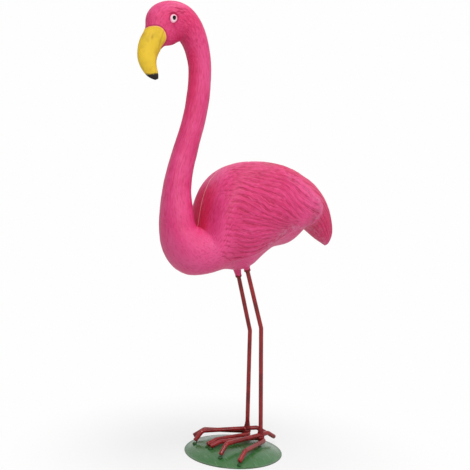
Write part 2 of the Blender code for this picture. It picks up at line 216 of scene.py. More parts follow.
MOUTH_LINE = [(40.3, 88.0), (40.7, 86.2), (41.0, 84.0), (41.1, 82.4), (41.0, 80.6), (40.6, 78.0)]
TIP_LINE = [(47.0, 72.1), (44.8, 72.0), (42.8, 72.2), (41.2, 72.7), (39.0, 73.2)]
EYE = (37.1, 92.7)
EYE_TILT = math.radians(-6)
EYE_HALF = (0.0066, 0.0080)
PUPIL = (36.95, 92.92)
PUPIL_HALF = (0.0034, 0.0043)
FAR = 9
BROW_STROKES = [(35.6, 94.2, 32.9, 96.0), (36.1, 94.9, 32.6, 97.3), (36.7, 96.8, 34.4, 96.4), (38.9, 94.0, 36.6, 95.0),
                (38.2, 90.9, 36.6, 91.1)]

# Colours
WHITE = (1.0, 1.0, 1.0, 1)
PINK = (0.645, 0.033, 0.168)
DEEP_PINK = (0.37, 0.004, 0.052)
PALE_PINK = (0.72, 0.084, 0.255)
# Painted shade in the neck's creases, under the chin and on the face
SHADE_PINK = (0.64, 0.004, 0.062)
# Painted shade: the tail a deeper, more saturated crimson
TAIL_SHADE_PINK = (0.62, 0.008, 0.085)
# Pale crests, partly wear and partly painted highlight
WORN_SHEEN_PINK = (0.66, 0.19, 0.33)
# Painted highlight along the mould seam
SEAM_HIGHLIGHT_PINK = (0.92, 0.55, 0.50)
YELLOW = (0.75, 0.50, 0.028)
DEEP_YELLOW = (0.52, 0.32, 0.022)
BEAK_RIM = (0.86, 0.40, 0.13)
MOUTH_BROWN = (0.30, 0.13, 0.02)
TIP_BLACK = (0.012, 0.008, 0.008)
EYE_WHITE = (0.85, 0.64, 0.70)
EYE_RIM = (0.80, 0.34, 0.48)
PUPIL_BLACK = (0.002, 0.002, 0.002)
RED = (0.205, 0.005, 0.007)
LIGHT_RED = (0.28, 0.010, 0.012)
DARK_RED = (0.10, 0.004, 0.006)
CHIP_BROWN = (0.10, 0.035, 0.02)
GREEN = (0.028, 0.132, 0.028)
LIGHT_GREEN = (0.052, 0.160, 0.056)
# A pale painted reflection on one side of the dish, and the way it lies
REFLECTION_GREEN = (0.17, 0.26, 0.205)
REFLECTION_WAY = (-0.89, 0.45, 0)
BRUSHED_GREEN = (0.23, 0.36, 0.25)
RIM_GREEN = (0.035, 0.05, 0.03)
SPOT_GREEN = (0.06, 0.10, 0.06)
FLOOR_GREYS = ((0.76, 0.76, 0.76), (0.78, 0.78, 0.78))

# Studio: backdrop strength, lamps (name, place, target, size, power) and the photo's camera
BACKDROP = 0.99
LAMPS = (
    ("key", (2.52, -1.42, 2.60), (0, 0, 0.5), 1.35, 56),
    ("top", (0.4, 0.25, 2.4), (0, 0.05, 0.5), 1.0, 13),
    ("fill", (2.0, 0.9, 1.1), (0, 0, 0.45), 1.4, 11),
)
SENSOR_WIDTH = 36
FOCAL_PIXELS = 620
FRAME_PIXELS = 470
CAMERA_PLACE = (1.0743794, -0.5562110, 0.4214149)
CAMERA_RIGHT = Vector((0.453990, 0.891007, 0))
CAMERA_VIEW = Vector((-0.891007, 0.453990, 0))
CAMERA_ROLL = math.radians(3.1)


def spline(values, places):
    """A natural cubic spline through values at 0, 1, 2 and so on, read at the given places."""
    count = len(values)
    matrix = np.zeros((count, count))
    right = np.zeros(values.shape)
    matrix[0, 0] = 1
    matrix[-1, -1] = 1
    for row in range(1, count - 1):
        matrix[row, row - 1:row + 2] = (1, 4, 1)
        right[row] = 6 * (values[row - 1] - 2 * values[row] + values[row + 1])
    bend = np.linalg.solve(matrix, right)
    first = np.clip(np.floor(places).astype(int), 0, count - 2)
    after = (places - first)[:, None]
    before = 1 - after
    curve = before * values[first] + after * values[first + 1]
    curve += ((before**3 - before) * bend[first] + (after**3 - after) * bend[first + 1]) / 6
    return curve


def ramp(value, start, finish):
    """Smooth step from 0 at start to 1 at finish."""
    share = np.clip((value - start) / (finish - start), 0, 1)
    return share * share * (3 - 2 * share)


def between(places, start, end):
    """1 between two ranges, fading in over the first and out over the second."""
    return ramp(places, *start) * (1 - ramp(places, *end))


def bell(value, width):
    """1 where the value is 0, falling off smoothly on both sides."""
    return np.exp(-(value / width)**2)


def along(points, ahead):
    """Second coordinate of a line of points at the given first coordinate."""
    return np.interp(ahead, *zip(*sorted(points)))


def smooth_line(points, steps=8):
    """A finer line through the points."""
    places = np.linspace(0, len(points) - 1, (len(points) - 1) * steps + 1)
    return spline(np.array(points, float), places)


def distance_to(points, ahead, above):
    """Signed distance to a smooth line through the points, positive on the right of its direction."""
    line = smooth_line(points)
    best = np.full(ahead.shape, 1e9)
    signed = np.zeros(ahead.shape)
    for (a, b), (c, d) in zip(line, line[1:]):
        right, up = c - a, d - b
        share = np.clip(((ahead - a) * right + (above - b) * up) / (right**2 + up**2), 0, 1)
        away = np.hypot(ahead - a - share * right, above - b - share * up)
        side = np.sign(up * (ahead - a) - right * (above - b))
        signed = np.where(away < best, side * away, signed)
        best = np.minimum(best, away)
    return signed


LATTICE = np.random.default_rng(7).random((64, 64, 64)).astype(np.float32)


def noise(x, y, z=0.0):
    """Smooth value noise from -1 to 1."""
    x, y, z = np.broadcast_arrays(x, y, z)
    total = 0
    cells = [np.floor(value).astype(int) for value in (x, y, z)]
    shares = [value - np.floor(value) for value in (x, y, z)]
    shares = [share * share * (3 - 2 * share) for share in shares]
    for corner in range(8):
        bits = [(corner >> bit) & 1 for bit in range(3)]
        weight = 1
        for bit, share in zip(bits, shares):
            weight = weight * (share if bit else 1 - share)
        total = total + weight * LATTICE[tuple((cell + bit) % 64 for cell, bit in zip(cells, bits))]
    return 2 * total - 1


def noise_at(place, scale, shift=0.0):
    """Noise at one point, shifted along x."""
    return float(noise(place.x * scale + shift, place.y * scale, place.z * scale))


def column_angles():
    """Angles round a ring, 0 on the crown and pi on the belly, with a close pair of columns at each seam."""
    crown_edge = math.radians(48)
    belly_edge = math.radians(142)
    close = math.radians(0.45)
    half_crown = np.linspace(close, crown_edge, CROWN_COLUMNS // 2, endpoint=False)
    flank = np.linspace(crown_edge, belly_edge, FLANK_COLUMNS, endpoint=False)
    half_belly = np.linspace(belly_edge, math.pi - close, BELLY_COLUMNS // 2)
    left = np.concatenate((half_crown, flank, half_belly))
    return np.concatenate(((0.0,), left, (math.pi,), 2 * math.pi - left[::-1]))


def eye_place(ahead, above, middle, half):
    """Distance from the middle of the eye as a share of its size, 1 on its edge."""
    right = (ahead - middle[0]) * BIRD_UNIT
    up = (above - middle[1]) * BIRD_UNIT
    turned = right * math.cos(EYE_TILT) - up * math.sin(EYE_TILT)
    upward = right * math.sin(EYE_TILT) + up * math.cos(EYE_TILT)
    narrow = 1 + 0.08 * upward / half[1]
    return np.hypot(turned / half[0] / narrow, upward / half[1])


def feather_heights(ahead):
    """Height of each long feather line at the given places ahead."""
    lines = [smooth_line(list(zip(FEATHERS_AHEAD, line))) for _, line in FEATHERS]
    return [along(line.tolist(), ahead) for line in lines]


def feather_share(heights, above):
    """Place across the long feathers, 0 on the wing's lower edge and 1 on the top line."""
    values = [value for value, _ in FEATHERS]
    fan = np.minimum((above - heights[0]) / 25, 0)
    for index in range(1, len(values)):
        share = (above - heights[index - 1]) / np.maximum(heights[index] - heights[index - 1], 0.02)
        share = np.clip(share, 0, 1 if index < len(values) - 1 else 9)
        fan = fan + share * (values[index] - values[index - 1])
    return fan


def wing_field(ahead, above):
    """Feather coordinate across the wing, the feathers' pitch, how far a point lies on the wing, and how high over
    its lower edge."""
    over_edge = above - along(WING_LOW, ahead)
    heights = feather_heights(ahead)
    fan = feather_share(heights, above)
    slope = feather_share(heights, above + 0.8) - feather_share(heights, above - 0.8)
    pitch = 1.6 / np.maximum(slope, 1e-3) / FEATHER_ROWS
    rear = -distance_to(WING_REAR, ahead, above)
    cover = ramp(over_edge, *WING_LOW_FADE) * ramp(-ahead, *WING_FRONT_FADE) * ramp(rear, *WING_REAR_FADE)
    return fan, pitch, cover, over_edge


def strokes(lines, ahead, above, width):
    """Depth from 0 to 1 of tapered and slightly bowed strokes, each from one end to the other."""
    deepest = np.zeros(ahead.shape)
    for a, b, c, d in lines:
        near = abs(ahead - (a + c) / 2) < abs(c - a) / 2 + 3 * width
        near &= abs(above - (b + d) / 2) < abs(d - b) / 2 + 3 * width
        if not near.any():
            continue
        length = (c - a)**2 + (d - b)**2
        share = np.clip(((ahead - a) * (c - a) + (above - b) * (d - b)) / length, 0, 1)
        bow = 0.10 * math.sqrt(length) * 4 * share * (1 - share)
        away = np.hypot(ahead - a - share * (c - a), above - b - share * (d - b) - bow)
        taper = 0.35 + 0.65 * np.sin(math.pi * np.clip(share, 0.06, 0.94))
        deepest = np.maximum(deepest, np.where(near, bell(away, width * taper), 0))
    return deepest


def stroke_from(a, b, rise, reach):
    """The stroke that runs back from a point at an angle."""
    return a, b, a - reach * math.cos(rise), b + reach * math.sin(rise)


def covert_strokes():
    """Short strokes where the shoulder meets the long feathers, rising more the higher they lie."""
    rng = np.random.default_rng(3)
    lines = []
    for row in range(16):
        above = 6.5 + 2.05 * row
        front = 15.8 + 0.006 * (above - 26)**2
        for start, length in ((0.0, 3.1), (2.2, 3.6)):
            a = front - start + rng.uniform(-1.1, 1.1)
            rise = math.radians(max(-14, 1.7 * (above - 28)) + rng.uniform(-7, 7))
            b = above + start * math.tan(rise) + rng.uniform(-0.4, 0.4)
            lines.append(stroke_from(a, b, rise, length * rng.uniform(0.7, 1.1)))
    return lines


def scattered_strokes(seed, count, ahead, above, reach, angles=None, sag=0.0):
    """Strokes at random places and of random lengths and angles from the given ranges.

    Without angles they follow the head's curve, and the sag lowers them away from the top of the back.
    """
    rng = np.random.default_rng(seed)
    lines = []
    for _ in range(count):
        a = rng.uniform(*ahead)
        b = rng.uniform(*above) - sag * (a + 2)**2
        if angles:
            rise = math.radians(rng.uniform(*angles))
        else:
            rise = math.radians(90) - math.atan2(b - 78.0, 24.0 - a)
        lines.append(stroke_from(a, b, rise, rng.uniform(*reach)))
    return lines


def relief(angles, places, ahead, above):
    """Height over the smooth bird in metres, and the masks that its paint, painted shade and painted highlights
    follow.

    The angles are a row and the places along the stations a column.
    """
    upward = np.cos(angles)
    side = abs(np.sin(angles))
    flank = ramp(side, 0.30, 0.70)
    head = 1 - ramp(places, *HEAD_END)
    trunk = ramp(places, *TRUNK_START)
    fan, pitch, cover, over_edge = wing_field(ahead, above)
    height = WING_STEP * cover * flank - SKIN_SINK

    # Long wing feathers with barbs, each over the one below it
    wander = 0.30 * noise(ahead / 7, above / 5) + 0.07 * noise(ahead / 2.2, above / 2.2, 5.0)
    rows = fan * FEATHER_ROWS + wander
    within = rows - np.floor(rows)
    strength = 0.72 + 0.28 * noise(ahead / 6, rows * 0.9, 9.0)
    behind = distance_to(BACK_EDGE, ahead, above)
    feathers = cover * ramp(side, 0.16, 0.45) * ramp(-ahead, -17.6, -13.0) * ramp(over_edge, 0.0, 1.2)
    feathers *= ramp(np.hypot(ahead + 20.0, above - 21.0), 2.0, 6.5) * ramp(-behind, *BACK_EDGE_FADE)
    saw = (1 - within) * ramp(within, 0.0, 0.12)
    height += FEATHER_STEP * feathers * strength * (saw - 0.75)
    line = feathers * strength * bell(np.minimum(within, 1 - within) * np.clip(pitch, 0.5, 4), 0.30)
    height -= FEATHER_LINE * line
    height += BARB_HEIGHT * feathers * noise(ahead / 2.6, rows * 3.1, 2.0)
    # Painted shade in the grooves between the feathers
    groove_shade = 0.35 * line

    # Short strokes: their width, where they lie, how deep they are and how dark their painted shade is
    body = ramp(places, *BODY_START)
    shoulder = scattered_strokes(8, 70, (15.5, 22.5), (19.0, 38.5), (1.2, 2.4), (28, 52))
    back = scattered_strokes(5, 90, (-13, 15), (36.5, 45.0), (1.2, 2.8), (-28, 22), 0.012)
    for lines, width, where, depth, dark in (
        (covert_strokes(), 0.30, flank * ramp(body, 0.2, 0.8), 0.0006, 0.9),
        (shoulder, 0.22, flank * body * ramp(places, 24, 25), 0.0003, 0.65),
        (back, 0.30, ramp(side, 0.2, 0.4) * ramp(places, 23, 25), 0.0005, 0.75),
    ):
        cut = strokes(lines, ahead, above, width) * where
        height -= depth * cut
        groove_shade = np.maximum(groove_shade, dark * cut)
    fine = scattered_strokes(11, 46, (24.5, 35.0), (85.5, 98.5), (1.1, 2.2))
    face = np.maximum(0.6 * strokes(fine, ahead, above, 0.15), strokes(BROW_STROKES, ahead, above, 0.50))
    face *= head * ramp(side, 0.25, 0.6)
    height -= FACE_STROKE * face
    groove_shade = np.maximum(groove_shade, face)

    # Long ridges that fan down the tail
    tail = ramp(behind, *BACK_EDGE_FADE) * ramp(-ahead, -1, 9) * ramp(-places, -36.0, -34.0)
    ridges = np.cos(angles * 24) + 0.4 * noise(ahead / 4, angles * 6, 4.0)
    height += TAIL_RIDGE * tail * ridges * ramp(side, 0.1, 0.4)
    # Painted shade between the tail's ridges
    groove_shade = np.maximum(groove_shade, 0.22 * tail * ramp(-ridges, 0.0, 1.0))

    # Pale crests, partly wear and partly painted highlight: the wing's edge, the belly under it, the top of the back
    # and the tail's edges
    edge_band = abs(distance_to(WEAR_AND_SHEEN_EDGE, ahead, above))
    wear_and_sheen = 0.45 * (bell(edge_band, 0.9) + bell(edge_band, 2.6)) * ramp(side, 0.2, 0.5) * trunk
    belly = ramp(-over_edge, 0.2, 1.4) * ramp(-ahead, -4, 5) * (1 - ramp(places, 33.0, 34.0))
    wear_and_sheen = np.maximum(wear_and_sheen, 0.42 * belly) * (1 - 0.65 * ramp(above, 29, 35))
    wear_and_sheen = np.maximum(wear_and_sheen, 0.12 * ramp(-side, -0.62, -0.25) * ramp(-ahead, -2, 8) * trunk)
    rims = 0.35 * ramp(upward, 0.75, 0.98) + 0.9 * ramp(-upward, 0.62, 0.92)
    wear_and_sheen = np.maximum(wear_and_sheen, rims * ramp(places, 33.2, 34.2))

    # Painted shade on the inner sides of the neck, under the chin and over the breast, and on the face below the crown
    chin = 0.8 * between(places, (9.0, 11.0), (12.5, 16.0)) * ramp(-upward, 0.15, 0.95)
    breast = between(places, (18.0, 20.5), (24.4, 25.4)) * ramp(upward, 0.80, 1.0)
    low_face = 0.38 * (1 - ramp(places, 8.5, 12.0)) * (1 - ramp(above + 0.35 * ahead, 107.0, 111.5))
    painted_shade = np.maximum(np.maximum(chin, breast), low_face)

    # Fine lengthwise strokes on the neck, dimples on the back, uneven moulding and the mould seam
    neck = between(places, (10.0, 13.0), (19.5, 24.0))
    height += NECK_STROKE * neck * noise(places * 5.46, angles * 9, 6.0)
    dimples = between(places, (22, 25), (33, 35)) * (1 - 0.75 * flank)
    height += DIMPLE_DEPTH * dimples * noise(ahead / 1.3, above / 1.3, np.sin(angles) * 12.8)
    height += UNEVENNESS * noise(ahead / 5.5, above / 5.5, np.sin(angles) * 2.5 + 20) * (1 - head * 0.6)
    height[:, [0, angles.size // 2]] += SEAM_HEIGHT

    # Beak: its edge, the mouth, the nostril and the black tip
    beak = -distance_to(BEAK_LINE, ahead, above) * BIRD_UNIT
    beak = np.where((head > 0) & (ahead > 37.0), beak, -1)
    height -= BEAK_GROOVE * bell(beak, 0.0009)
    height += BEAK_LIP * bell(beak - 0.0020, 0.0011)
    cheek = head * ramp(side, 0.3, 0.6)
    mouth = bell(distance_to(MOUTH_LINE, ahead, above) * BIRD_UNIT, 0.0008) * cheek * ramp(above, 79, 83)
    nostril = bell(np.hypot((ahead - 44.4) / 0.35, (above - 85.0) / 0.9), 1) * cheek
    height -= MOUTH_DEPTH * mouth + NOSTRIL_DEPTH * nostril
    tip = -distance_to(TIP_LINE, ahead, above) * BIRD_UNIT
    tip = np.where((head > 0) & (above < 76), tip, -1)

    # Eye: a ball under a lid
    eye = np.where((head > 0) & (side > 0.3), eye_place(ahead, above, EYE, EYE_HALF), FAR)
    pupil = np.where(eye < FAR, eye_place(ahead, above, PUPIL, PUPIL_HALF), FAR)
    lid = 1 + 0.5 * ramp(above, EYE[1] - 0.5, EYE[1] + 1.5)
    height += EYE_BALL * (np.clip(1 - eye**2, 0, 1) - bell(eye - 1.06, 0.13))
    height += LID_HEIGHT * lid * bell(eye - 1.42, 0.22)
    # Painted shade in the groove round the eye
    groove_shade = np.maximum(groove_shade, bell(eye - 1.16, 0.14))
    return height, {
        "groove_shade": groove_shade, "wear_and_sheen": wear_and_sheen, "cover": cover * flank, "feathers": feathers * strength,
        "pitch": np.clip(pitch, 0.3, 4), "tail": tail, "beak": beak, "mouth": mouth + nostril, "tip": tip,
        "eye": eye, "pupil": pupil, "rows": rows, "trunk": ramp(places, 17.0, 22.0),
        "front": between(places, (20.0, 22.5), (25.0, 26.5)), "painted_shade": painted_shade,
    }


def link(name, data):
    """A new object in the scene."""
    made = bpy.data.objects.new(name, data)
    bpy.context.scene.collection.objects.link(made)
    return made


def piece(bm, mesh):
    """A smooth piece from a finished bmesh."""
    bm.to_mesh(mesh)
    bm.free()
    mesh.shade_smooth()
    return link(mesh.name, mesh)


def make_bird():
    """The bird's skin: the same loft as the solid, with its feathers, seam, beak and eyes carved in."""
    chest = []
    for ahead, above, half_width, fullness in CHEST:
        to_edge = Vector((ahead - FOLD[0], above - FOLD[1])).normalized()
        upper = Vector(FOLD) + FOLD_RADIUS * to_edge
        chest.append((upper.x, upper.y, ahead, above, half_width, fullness))
    stations = np.array(BEAK + HEAD + NECK + chest + BODY + TAIL)
    shares = np.concatenate(((0,), np.cumsum(RING_SHARES)))
    places = np.interp(np.linspace(0, shares[-1], RINGS), shares, np.arange(len(stations)))
    rails = spline(stations, places)
    places = places[:, None]
    angles = column_angles()[None, :]
    upper, lower, half_width, fullness = np.split(rails, (2, 4, 5), axis=1)
    middle = (upper + lower) / 2
    across = (upper - lower) / 2
    half_height = np.hypot(across[:, 0:1], across[:, 1:2])
    power = np.where(np.cos(angles) > 0, 2 / fullness, 2 / BELLY_FULLNESS)
    cosine = np.sign(np.cos(angles)) * abs(np.cos(angles))**power
    left = half_width * np.sign(np.sin(angles)) * abs(np.sin(angles))**power
    ahead = middle[:, 0:1] + across[:, 0:1] * cosine
    above = middle[:, 1:2] + across[:, 1:2] * cosine

    # The relief stands on the surface's own normal
    height, masks = relief(angles, places, ahead, above)
    outward_side = half_height * np.sin(angles)
    outward_up = half_width * np.cos(angles)
    raised = height / BIRD_UNIT / np.hypot(outward_side, outward_up)
    left = left + outward_side * raised
    ahead = ahead + outward_up * raised * across[:, 0:1] / half_height
    above = above + outward_up * raised * across[:, 1:2] / half_height
    points = np.stack((left, -ahead, above), axis=2) * BIRD_UNIT + np.array(BIRD_PLACE)

    made = skin_rings("bird_skin", [[points[0].mean(axis=0)], *points, [points[-1].mean(axis=0)]], math.pi)
    layers = {name: (values,) for name, values in masks.items()}
    girth = np.minimum(angles, 2 * math.pi - angles)
    half = np.sign(left) * 0.5
    layers["skin_flow"] = (places * 0.021, girth * 0.03, half)
    layers["wing_flow"] = (-ahead * BIRD_UNIT, masks["rows"] * 0.012, half)
    for name, parts in layers.items():
        # The two end points take the values next to them
        values = np.stack([np.broadcast_to(part, left.shape) for part in parts], axis=2).reshape(-1, len(parts))
        values = np.concatenate((values[:1], values, values[-1:])).astype(np.float32)
        kind, field = ("FLOAT", "value") if len(parts) == 1 else ("FLOAT_VECTOR", "vector")
        made.data.attributes.new(name, kind, "POINT").data.foreach_set(field, values.ravel())
    return made


def skin_rings(name, rings, sharp=math.radians(50)):
    """A piece over rings of points. A ring may be one point, and a wider ring at an end is closed."""
    bm = bmesh.new()
    rings = [[bm.verts.new(point) for point in ring] for ring in rings]
    for low, high in zip(rings, rings[1:]):
        sides = max(len(low), len(high))
        for step in range(sides):
            beside = (step + 1) % sides
            if len(low) == 1:
                bm.faces.new((low[0], high[beside], high[step]))
            elif len(high) == 1:
                bm.faces.new((low[step], low[beside], high[0]))
            else:
                bm.faces.new((low[step], low[beside], high[beside], high[step]))
    for ring in (rings[0][::-1], rings[-1]):
        if len(ring) > 1:
            bm.faces.new(ring)
    bmesh.ops.recalc_face_normals(bm, faces=bm.faces)
    made = piece(bm, bpy.data.meshes.new(name))
    made.data.set_sharp_from_angle(angle=sharp)
    return made


def lathe(name, profile, sides, start, direction=UP):
    """A turned piece: (radius, distance along) points swept round an axis."""
    turn = UP.rotation_difference(direction).to_matrix()
    rings = []
    for radius, distance in profile:
        ring = []
        for step in range(sides if radius > 0 else 1):
            angle = 2 * math.pi * step / sides
            ring.append(start + turn @ Vector((radius * math.cos(angle), radius * math.sin(angle), distance)))
        rings.append(ring)
    return skin_rings(name, rings)


def rounded_path(corners, radius, steps=10):
    """The corners of a bent rod with each inner corner rounded to an arc."""
    points = [corners[0]]
    for before, corner, after in zip(corners, corners[1:], corners[2:]):
        back = (before - corner).normalized()
        on = (after - corner).normalized()
        half_turn = (math.pi - back.angle(on)) / 2
        reach = radius * math.tan(half_turn)
        middle = corner + (back + on).normalized() * radius / math.cos(half_turn)
        start = corner + back * reach - middle
        finish = corner + on * reach - middle
        for step in range(steps + 1):
            points.append(middle + radius * start.slerp(finish, step / steps).normalized())
    points.append(corners[-1])
    return points


def finer(points, step=0.004):
    """The same path with a point at least every step."""
    made = [points[0]]
    for before, after in zip(points, points[1:]):
        parts = max(1, math.ceil((after - before).length / step))
        for part in range(1, parts + 1):
            made.append(before.lerp(after, part / parts))
    return made


def cut_end(end, beside, radius):
    """A rod's end: a cut face with a small chamfer."""
    return [(end, radius - CHAMFER), (end.lerp(beside, CHAMFER / (beside - end).length), radius)]


def make_rod(name, corners, bend_radius=ROD_BEND_RADIUS, sides=28):
    """A painted round rod along rounded corners, with chamfered ends and hand-bent unevenness."""
    path = finer(rounded_path(corners, bend_radius))
    thick = ROD_RADIUS + PAINT_THICKNESS
    spots = cut_end(path[0], path[1], thick) + [(spot, thick) for spot in path[1:-1]]
    spots += cut_end(path[-1], path[-2], thick)[::-1]
    rings = []
    side_way = (spots[1][0] - spots[0][0]).normalized().orthogonal().normalized()
    for index, (spot, radius) in enumerate(spots):
        before = spots[max(0, index - 1)][0]
        after = spots[min(len(spots) - 1, index + 1)][0]
        way = (after - before).normalized()
        side_way = (side_way - way * side_way.dot(way)).normalized()
        other = way.cross(side_way)
        ring = []
        for step in range(sides):
            angle = 2 * math.pi * step / sides
            uneven = 1 + ROD_UNEVENNESS * noise_at(spot, 90, step * 0.4) - ROD_UNEVENNESS
            ring.append(spot + (side_way * math.cos(angle) + other * math.sin(angle)) * radius * uneven)
        rings.append(ring)
    dress(skin_rings(name, rings), red, "leg_paint", f"{name}_rod")


def weld(name, place, size, seed):
    """A lump of weld: a rough flattened ball."""
    bm = bmesh.new()
    bmesh.ops.create_icosphere(bm, subdivisions=4, radius=1)
    for vert in bm.verts:
        way = vert.co.normalized()
        rough = 1 + 0.10 * noise_at(way, 2.2, seed) + 0.05 * noise_at(way, 6, seed)
        vert.co = way * Vector(size) * rough + place
    return piece(bm, bpy.data.meshes.new(name))


def dish_height(distance):
    """Height of the dish's upper side at a distance from its middle."""
    crown_radius = DISH_RADIUS - DISH_RIM_WIDTH
    if distance >= crown_radius:
        return SHEET_THICKNESS
    return SHEET_THICKNESS + DISH_RISE * (1 - (distance / crown_radius)**DISH_FLATNESS)


def make_dish(steps=44):
    """The dish: a shallow dome of sheet with a flat rim whose edge is a little rounded."""
    crown = [DISH_RADIUS * step / steps for step in range(steps)]
    profile = [(radius, dish_height(radius)) for radius in crown]
    edge = SHEET_THICKNESS / 2
    for turn in range(7):
        angle = math.radians(90 - 30 * turn)
        profile.append((DISH_RADIUS - edge + edge * math.cos(angle), edge + edge * math.sin(angle)))
    profile += [(radius, dish_height(radius) - SHEET_THICKNESS) for radius in crown[::-1]]
    return lathe("dish_skin", profile, 128, DISH_MIDDLE)


class Nodes:
    """Short calls for building the nodes of a material or world."""

    def __init__(self, name, group=bpy.data.materials):
        self.owner = group.new(name)
        self.owner.use_nodes = True
        self.tree = self.owner.node_tree

    def put(self, socket, value):
        """Links an input to an output, or sets it."""
        if isinstance(value, bpy.types.NodeSocket):
            self.tree.links.new(value, socket)
        else:
            socket.default_value = value

    def new(self, kind, inputs, output=0, **settings):
        """An output of a new node, whose inputs are given by name or number."""
        made = self.tree.nodes.new("ShaderNode" + kind)
        for name, value in settings.items():
            setattr(made, name, value)
        for name, value in inputs.items():
            self.put(made.inputs[name], value)
        return made.outputs[output]

    def math(self, operation, *values, clamp=False):
        return self.new("Math", dict(enumerate(values)), operation=operation, use_clamp=clamp)

    def times(self, first, second):
        return self.math("MULTIPLY", first, second)

    def times_add(self, first, second, third):
        """First times second, and third added."""
        return self.math("MULTIPLY_ADD", first, second, third)

    def vector(self, operation, first, second=(0, 0, 0)):
        """Result of vector maths, a number for a length or a dot product."""
        output = "Value" if operation in ("LENGTH", "DOT_PRODUCT") else "Vector"
        return self.new("VectorMath", {0: first, 1: second}, output, operation=operation)

    def span(self, value, low, high):
        """Smooth step from 0 where the value is low to 1 where it is high."""
        inputs = {"Value": value, "From Min": min(low, high), "From Max": max(low, high),
                  "To Min": low > high, "To Max": low < high}
        return self.new("MapRange", inputs, "Result", interpolation_type="SMOOTHSTEP")

    def mix(self, share, first, second):
        """Colour between two colours or outputs."""
        first, second = ((*value, 1) if isinstance(value, tuple) else value for value in (first, second))
        return self.new("Mix", {0: share, 6: first, 7: second}, 2, data_type="RGBA")

    def layers(self, colour, *laid):
        """Colours laid over one another, each by a share."""
        for share, tint in laid:
            colour = self.mix(share, colour, tint)
        return colour

    def attribute(self, name, output="Fac"):
        return self.new("Attribute", {}, output, attribute_name=name)

    def object_place(self):
        return self.new("TexCoord", {}, "Object")

    def noise(self, vector, scale, detail, roughness, distortion=0.0):
        """Noise of one scale, or of one for each axis."""
        if isinstance(scale, tuple):
            vector = self.new("Mapping", {"Vector": vector, "Scale": scale})
            scale = 1.0
        inputs = {"Vector": vector, "Scale": scale, "Detail": detail, "Roughness": roughness}
        return self.new("TexNoise", {**inputs, "Distortion": distortion}, "Fac")

    def bump(self, height, distance, strength, after=None):
        inputs = {"Height": height, "Distance": distance, "Strength": strength}
        return self.new("Bump", {**inputs, "Normal": after} if after else inputs)

    def finish(self, colour, roughness, normal=None, **constants):
        """Joins the shader. Its other inputs are given by name, with _ for a space."""
        inputs = self.tree.nodes["Principled BSDF"].inputs
        self.put(inputs["Base Color"], colour)
        self.put(inputs["Roughness"], roughness)
        if normal:
            self.put(inputs["Normal"], normal)
        for name, value in constants.items():
            self.put(inputs[name.replace("_", " ")], value)
        return self.owner


def pink_plastic(nodes):
    """Object coordinates, coarse and fine noise, and the colour of the bare pink plastic."""
    place = nodes.object_place()
    cloud = nodes.noise(place, 9, 4, 0.6)
    fine = nodes.noise(place, 260, 3, 0.6)
    colour = nodes.layers(
        nodes.mix(nodes.span(cloud, 0.38, 0.76), PINK, PALE_PINK),
        (nodes.times(nodes.span(cloud, 0.55, 0.25), 0.35), DEEP_PINK),
    )
    return place, cloud, fine, colour


